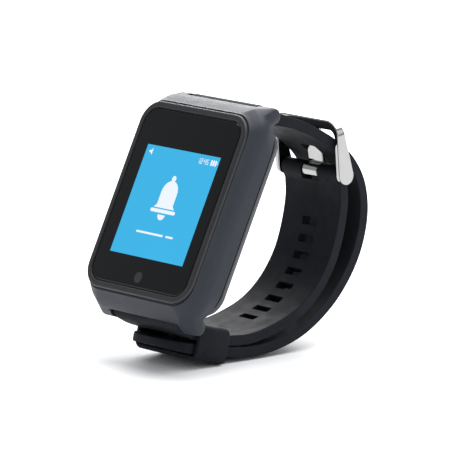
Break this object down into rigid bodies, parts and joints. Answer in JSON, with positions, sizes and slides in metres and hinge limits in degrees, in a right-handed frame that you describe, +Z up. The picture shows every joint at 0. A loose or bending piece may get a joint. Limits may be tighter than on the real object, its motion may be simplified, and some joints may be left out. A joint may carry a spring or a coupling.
{
  "type": "pager",
  "caption": "Wrist-worn electronic pager: a square-screen case that leans back and stands on its own buckled silicone strap",
  "frame": {"origin": "middle of the bounding box at the surface the pager stands on", "axes": "+X to the side of the case across the screen, +Y away from the screen towards the back of the strap loop, +Z up; the case leans back 25.7 degrees about X"},
  "size_m": [0.0422, 0.0662, 0.0628],
  "materials": {
    "case_plastic": "satin, fine texture",
    "bezel_plastic": "matte",
    "cover_glass": "polished, blacked out round the display",
    "adhesive": "soft film",
    "display": "lit",
    "light_guide": "white film",
    "flex_ribbon": "amber film",
    "gold_pad": "plated",
    "chassis_metal": "as rolled",
    "board": "solder mask",
    "chip_black": "moulded",
    "tin": "tinned",
    "ferrite": "ground",
    "copper_wire": "enamelled",
    "cell_foil": "foil pouch",
    "lead_red": "insulated wire",
    "tungsten": "sintered",
    "cover_plastic": "satin",
    "seal_rubber": "smooth",
    "screw_steel": "dark",
    "bar_steel": "drawn",
    "strap_rubber": "soft silicone",
    "buckle_steel": "polished"
  },
  "bodies": {
    "pager": {"front_shell": "case_plastic", "bezel_frame": "bezel_plastic", "cover_glass": "cover_glass", "glass_gasket": "adhesive", "lcd_panel": "display", "backlight": "light_guide", "display_flex": "flex_ribbon", "touch_pad": "gold_pad", "inner_chassis": "chassis_metal", "main_board": "board", "board_chips": "chip_black", "rf_shield": "tin", "radio_chip": "chip_black", "antenna_rod": "ferrite", "antenna_coil": "copper_wire", "battery_cell": "cell_foil", "battery_lead": "lead_red", "motor_can": "tin", "buzzer": "chip_black", "charge_contacts": "gold_pad", "back_cover": "cover_plastic", "back_seal": "seal_rubber", "back_screws": "screw_steel", "lug_bar_top": "bar_steel", "lug_bar_bottom": "bar_steel", "buckle_bar": "bar_steel", "strap_long": "strap_rubber", "strap_short": "strap_rubber"},
    "keeper": {"keeper": "strap_rubber"},
    "buckle_frame": {"buckle_frame": "buckle_steel"},
    "buckle_tang": {"buckle_tang": "buckle_steel"},
    "motor_weight": {"motor_weight": "tungsten"},
    "pin_top_left": {"pin_top_left": "bar_steel"},
    "pin_top_right": {"pin_top_right": "bar_steel"},
    "pin_bottom_left": {"pin_bottom_left": "bar_steel"},
    "pin_bottom_right": {"pin_bottom_right": "bar_steel"},
    "pin_buckle_left": {"pin_buckle_left": "bar_steel"},
    "pin_buckle_right": {"pin_buckle_right": "bar_steel"}
  },
  "joints": [
    {"name": "keeper_slide", "type": "slide", "parent": "pager", "child": "keeper", "axis": [0, 0.9686, -0.2485], "range_m": [-0.0008, 0.002]},
    {"name": "buckle_rock", "type": "hinge", "parent": "pager", "child": "buckle_frame", "pos_m": [0, 0.02459, 0.04251], "axis": [-1, 0, 0], "range_deg": [-3, 0]},
    {"name": "tang_rock", "type": "hinge", "parent": "pager", "child": "buckle_tang", "pos_m": [0, 0.02459, 0.04251], "axis": [-1, 0, 0], "range_deg": [0, 2]},
    {"name": "motor_shaft", "type": "hinge", "parent": "pager", "child": "motor_weight", "pos_m": [0, -0.01303, 0.04253], "axis": [1, 0, 0], "continuous": true},
    {"name": "pin_top_left_slide", "type": "slide", "parent": "pager", "child": "pin_top_left", "axis": [-1, 0, 0], "range_m": [-0.0015, 0], "stiffness_N_per_m": 200, "springref_m": 0.001},
    {"name": "pin_top_right_slide", "type": "slide", "parent": "pager", "child": "pin_top_right", "axis": [1, 0, 0], "range_m": [-0.0015, 0], "stiffness_N_per_m": 200, "springref_m": 0.001},
    {"name": "pin_bottom_left_slide", "type": "slide", "parent": "pager", "child": "pin_bottom_left", "axis": [-1, 0, 0], "range_m": [-0.0015, 0], "stiffness_N_per_m": 200, "springref_m": 0.001},
    {"name": "pin_bottom_right_slide", "type": "slide", "parent": "pager", "child": "pin_bottom_right", "axis": [1, 0, 0], "range_m": [-0.0015, 0], "stiffness_N_per_m": 200, "springref_m": 0.001},
    {"name": "pin_buckle_left_slide", "type": "slide", "parent": "pager", "child": "pin_buckle_left", "axis": [-1, 0, 0], "range_m": [-0.0015, 0], "stiffness_N_per_m": 200, "springref_m": 0.001},
    {"name": "pin_buckle_right_slide", "type": "slide", "parent": "pager", "child": "pin_buckle_right", "axis": [1, 0, 0], "range_m": [-0.0015, 0], "stiffness_N_per_m": 200, "springref_m": 0.001}
  ]
}
